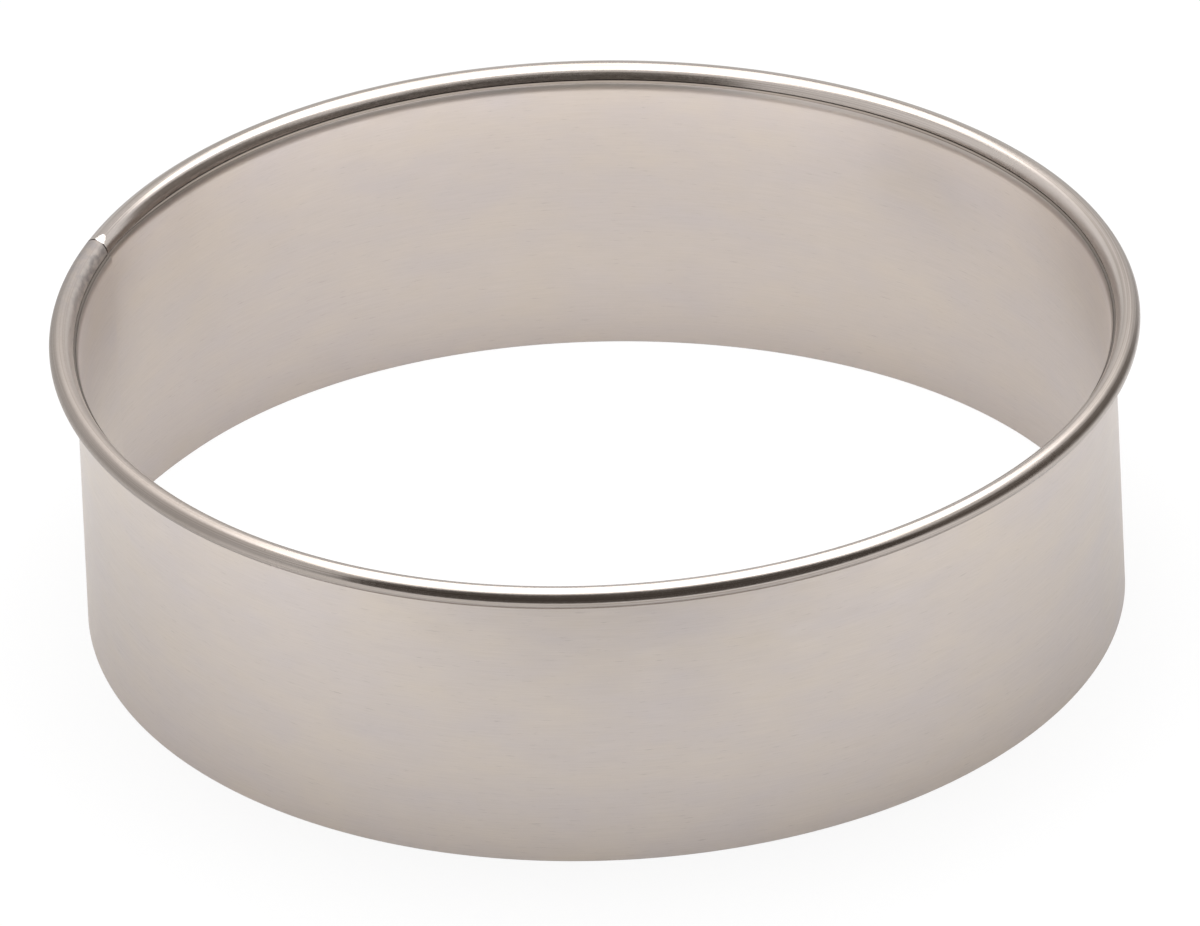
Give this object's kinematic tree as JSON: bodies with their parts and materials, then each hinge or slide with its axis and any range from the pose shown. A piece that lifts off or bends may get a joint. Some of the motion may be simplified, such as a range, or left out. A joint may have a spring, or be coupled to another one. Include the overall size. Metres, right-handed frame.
{
  "type": "biscuit cutter",
  "caption": "Round biscuit cutter: an open ring of thin sheet metal with a straight wall, a plain cutting edge and a rolled bead round the top edge.",
  "frame": {"origin": "centre of the ring on the plane of the cutting edge, which is what the ring stands on", "axes": "+Z along the ring's axis towards the bead; the joint of the bead is 159 degrees about +Z from +X, at the left and a little to the back seen from -Y"},
  "size_m": [0.1066, 0.1066, 0.0318],
  "materials": {
    "sheet_steel": "satin rolled sheet, glossier where it is rolled into the bead",
    "wire_steel": "drawn wire",
    "weld_steel": "resistance weld, dull"
  },
  "bodies": {
    "root": {"band": "sheet_steel", "rim_wire": "wire_steel", "spot_welds": "weld_steel"}
  },
  "joints": []
}
